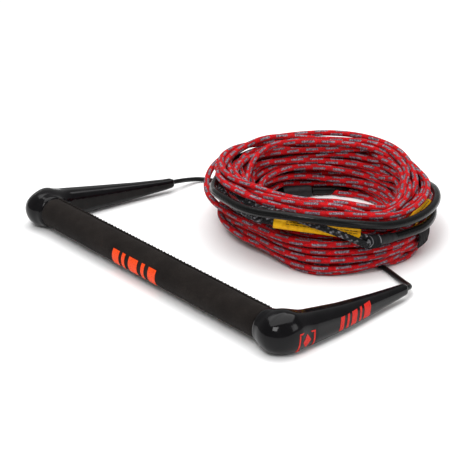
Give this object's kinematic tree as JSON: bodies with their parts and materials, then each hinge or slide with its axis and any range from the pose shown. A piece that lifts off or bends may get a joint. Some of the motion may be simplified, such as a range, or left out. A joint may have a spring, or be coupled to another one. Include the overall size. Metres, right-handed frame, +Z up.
{
  "type": "tow rope handle",
  "caption": "Floating tow rope handle: a padded bar with swept end caps, a short bridle, a black handle line and a long braided main line wound in a loose coil.",
  "frame": {"origin": "bottom centre of the handle's own box, without the cords: the plane that both end caps stand on", "axes": "+X along the bar, +Y from the bar towards the rope, +Z up"},
  "size_m": [0.4068, 0.3663, 0.076],
  "materials": {
    "grip_suede": "suede",
    "grip_thread": "thread",
    "cap_plastic": "gloss",
    "tube": "satin",
    "foam": "matt",
    "steel": "satin",
    "bridle_cord": "coated braid",
    "handle_line": "smooth coating",
    "eye_braid": "speckled braid",
    "whipping_twine": "waxed twine",
    "shrink_sleeve": "heat shrink",
    "marker_yellow": "satin vinyl",
    "main_rope": "braid with grey flecks",
    "webbing": "webbing"
  },
  "bodies": {
    "root": {"bar_foam_core": "foam", "bar_tube": "tube", "bridle_knot_left": "bridle_cord", "bridle_knot_right": "bridle_cord", "bridle_left": "bridle_cord", "bridle_right": "bridle_cord", "bridle_seizing": "shrink_sleeve", "bridle_washer_left": "steel", "bridle_washer_right": "steel", "cap_pin_left": "steel", "cap_pin_right": "steel", "coil_strap": "webbing", "end_cap_left": "cap_plastic", "end_cap_right": "cap_plastic", "eye_loop": "eye_braid", "eye_whipping": "whipping_twine", "grip_sleeve": "grip_suede", "grip_stitching": "grip_thread", "grip_welt": "grip_suede", "handle_line": "handle_line", "line_hitch": "main_rope", "line_sleeve": "shrink_sleeve", "loop_whipping": "shrink_sleeve", "main_line_coil": "main_rope", "main_line_loop": "main_rope", "main_line_tail": "main_rope", "marker_run": "main_rope"},
    "marker_front": {"marker_sleeve_front": "marker_yellow"},
    "marker_rear": {"marker_sleeve_rear": "marker_yellow"}
  },
  "joints": [
    {"name": "marker_front_turn", "type": "hinge", "parent": "root", "child": "marker_front", "pos_m": [0.0868, 0.06099, 0.0484], "axis": [0.718, 0.6892, -0.0969], "continuous": true},
    {"name": "marker_rear_turn", "type": "hinge", "parent": "root", "child": "marker_rear", "pos_m": [0.10774, 0.1774, 0.04175], "axis": [-0.4141, 0.9072, 0.0743], "continuous": true}
  ]
}
